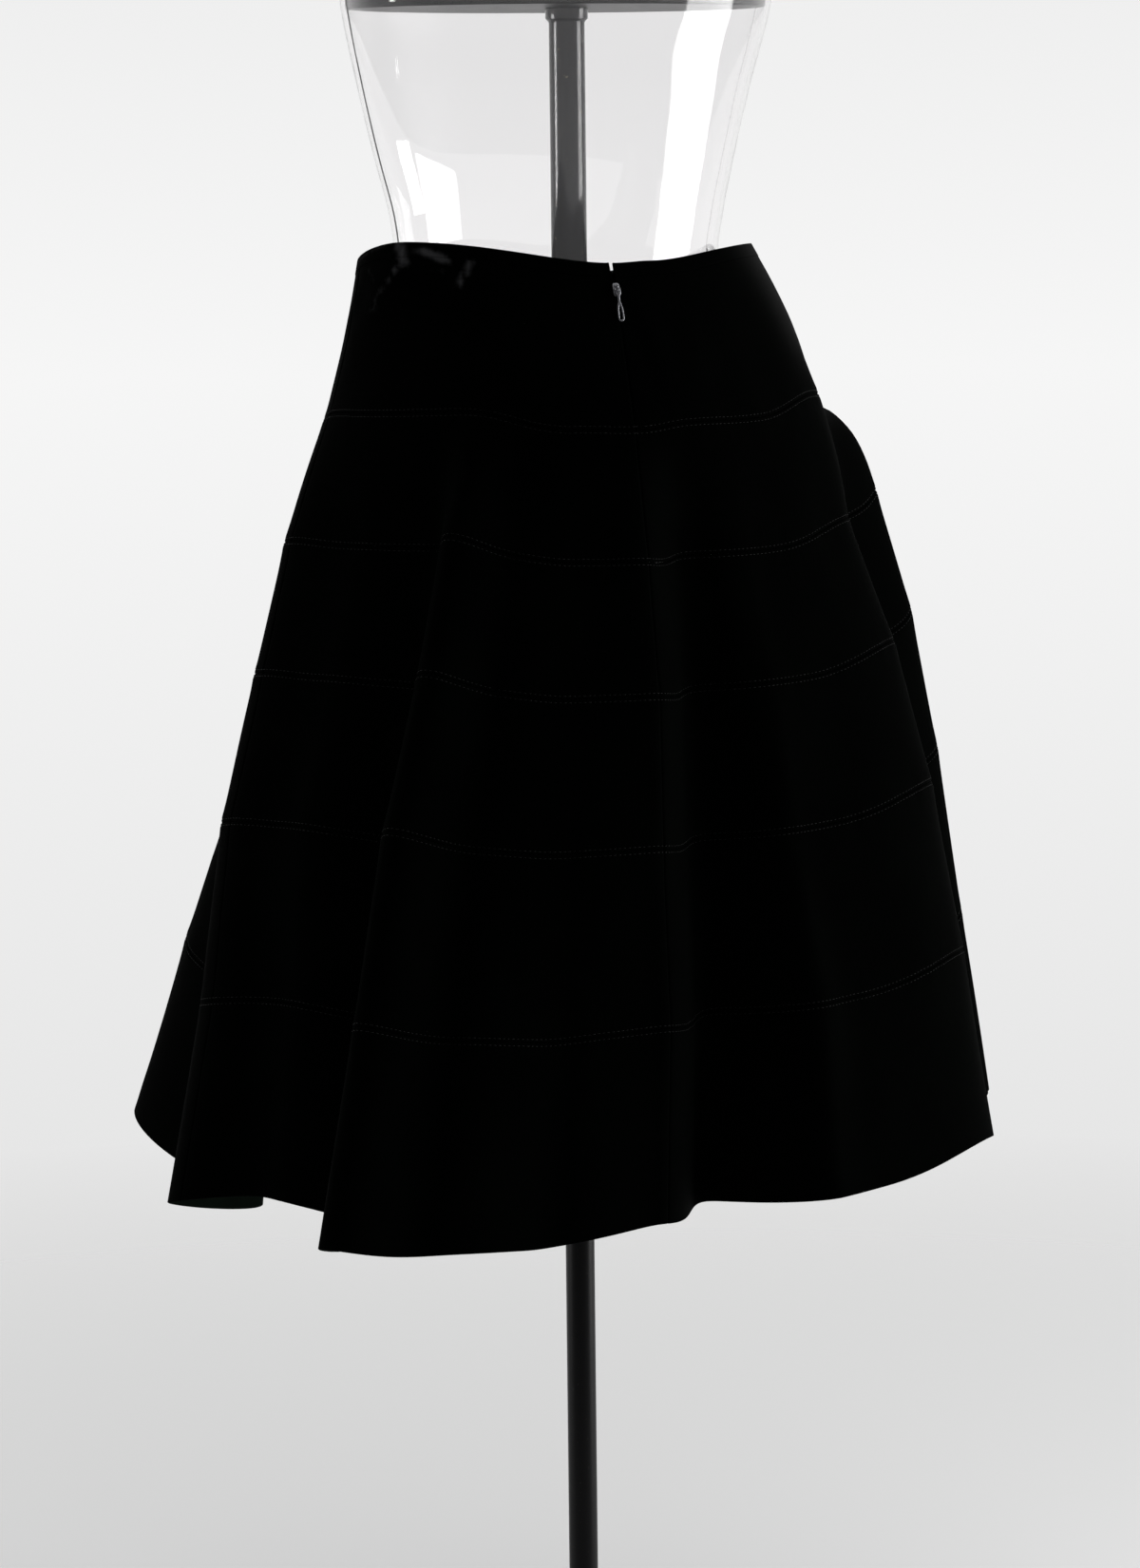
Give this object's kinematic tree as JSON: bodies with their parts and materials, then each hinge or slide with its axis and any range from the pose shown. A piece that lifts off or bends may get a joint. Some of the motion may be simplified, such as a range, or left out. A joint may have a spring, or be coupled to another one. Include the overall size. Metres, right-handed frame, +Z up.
{
  "type": "circle skirt on a limbless dress form",
  "caption": "Velvet circle skirt in a yoke and flared tiers, zipped at the centre back, worn by a clear limbless dress form on a pole stand.",
  "frame": {"origin": "on the floor, at the centre of the base's underside, under the pole", "axes": "+Z up, the wearer's front faces -Y, the wearer's left is +X and the centre back zip is on the +Y side"},
  "size_m": [0.617, 0.5166, 1.501],
  "materials": {
    "velvet": "cotton velvet with a soft sheen at grazing angles",
    "zip_cloth": "woven tape",
    "zip_metal": "darkened metal",
    "clear_plastic": "clear gloss plastic",
    "dark_plastic": "satin",
    "black_paint": "gloss black"
  },
  "bodies": {
    "skirt_on_form": {"waist_edge": "velvet", "yoke_back_left": "velvet", "yoke_back_right": "velvet", "yoke_front": "velvet", "tier1_back_left": "velvet", "tier1_back_right": "velvet", "tier1_front": "velvet", "tier2_back_left": "velvet", "tier2_back_right": "velvet", "tier2_front": "velvet", "tier3_back_left": "velvet", "tier3_back_right": "velvet", "tier3_front": "velvet", "tier4_back_left": "velvet", "tier4_back_right": "velvet", "tier4_front": "velvet", "tier5_back_left": "velvet", "tier5_back_right": "velvet", "tier5_front": "velvet", "zip_tape_left": "zip_cloth", "zip_tape_right": "zip_cloth", "zip_slider": "zip_metal", "form_back": "clear_plastic", "form_front": "clear_plastic", "form_plate": "dark_plastic", "form_socket": "black_paint", "pole": "black_paint", "base": "black_paint"},
    "zip_pull": {"zip_pull": "zip_metal"}
  },
  "joints": [
    {"name": "zip_pull_swing", "type": "hinge", "parent": "skirt_on_form", "child": "zip_pull", "pos_m": [0.00348, 0.10122, 1.01757], "axis": [0.9988, 0.037, -0.0312], "range_deg": [0, 150]}
  ]
}
